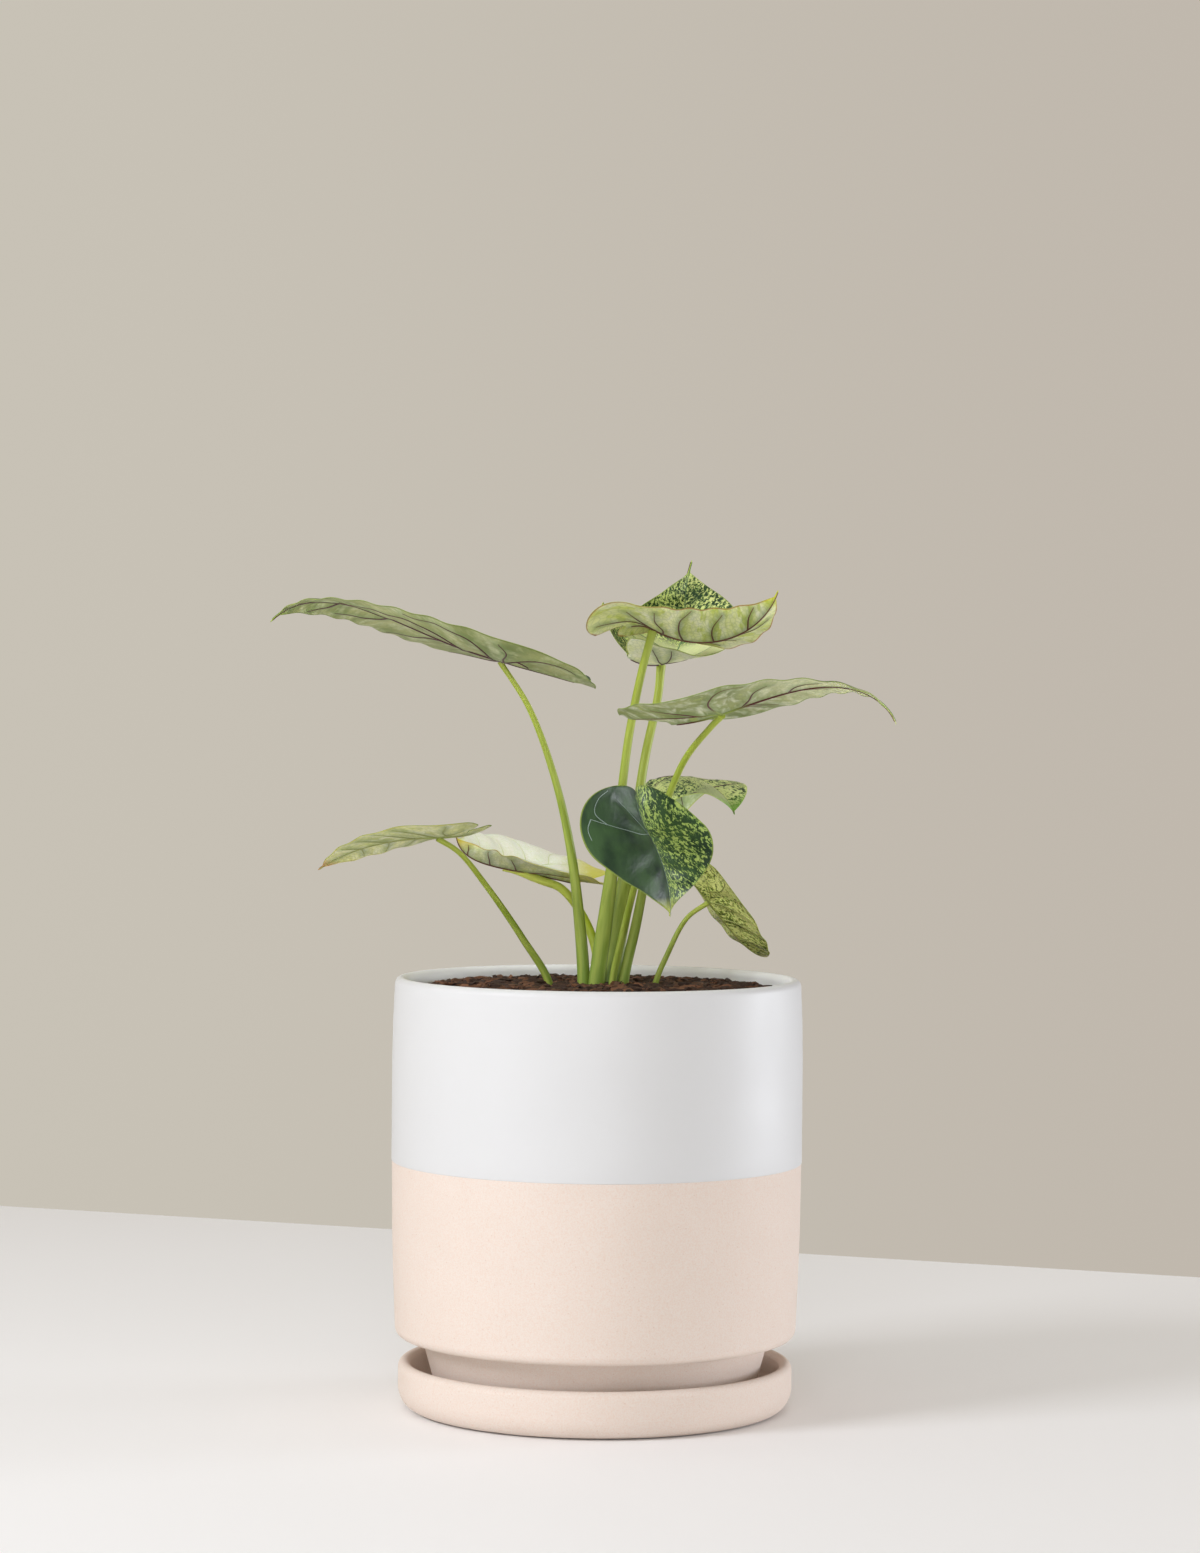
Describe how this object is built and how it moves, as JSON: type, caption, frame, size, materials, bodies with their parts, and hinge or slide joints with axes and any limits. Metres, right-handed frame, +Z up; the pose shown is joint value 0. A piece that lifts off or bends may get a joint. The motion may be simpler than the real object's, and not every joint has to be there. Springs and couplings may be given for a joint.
{
  "type": "potted plant",
  "caption": "Leafy houseplant with heart-shaped blades on slender stalks, in a cylindrical glazed stoneware pot with a bare clay base, standing in a round clay saucer.",
  "frame": {"origin": "middle of the saucer's flat underside, which rests on the table", "axes": "+Z up along the pot's axis, +X to the viewer's right, +Y away from the viewer"},
  "size_m": [0.2255, 0.15, 0.3114],
  "materials": {
    "glaze": "satin white glaze on stoneware",
    "bare_clay": "unglazed pinkish clay, dry and fine grained",
    "soil": "loose dark bark and peat mix",
    "stalk": "smooth green plant stalk",
    "dark_blade": "waxy leaf, dark green above and sage green beneath",
    "mottled_blade": "waxy leaf, mottled lime and dark green",
    "young_blade": "thin young leaf, cream and pale green"
  },
  "bodies": {
    "root": {"saucer": "bare_clay", "pot": "glaze", "soil": "soil", "stalk_a": "stalk", "stalk_b": "stalk", "stalk_c": "stalk", "stalk_d": "stalk", "stalk_e": "stalk", "stalk_f": "stalk", "stalk_g": "stalk", "stalk_h": "stalk", "stalk_i": "stalk", "blade_a": "dark_blade", "blade_b": "mottled_blade", "blade_c": "mottled_blade", "blade_d": "dark_blade", "blade_e": "mottled_blade", "blade_f": "mottled_blade", "blade_g": "mottled_blade", "blade_h": "dark_blade", "blade_i": "young_blade"}
  },
  "joints": []
}
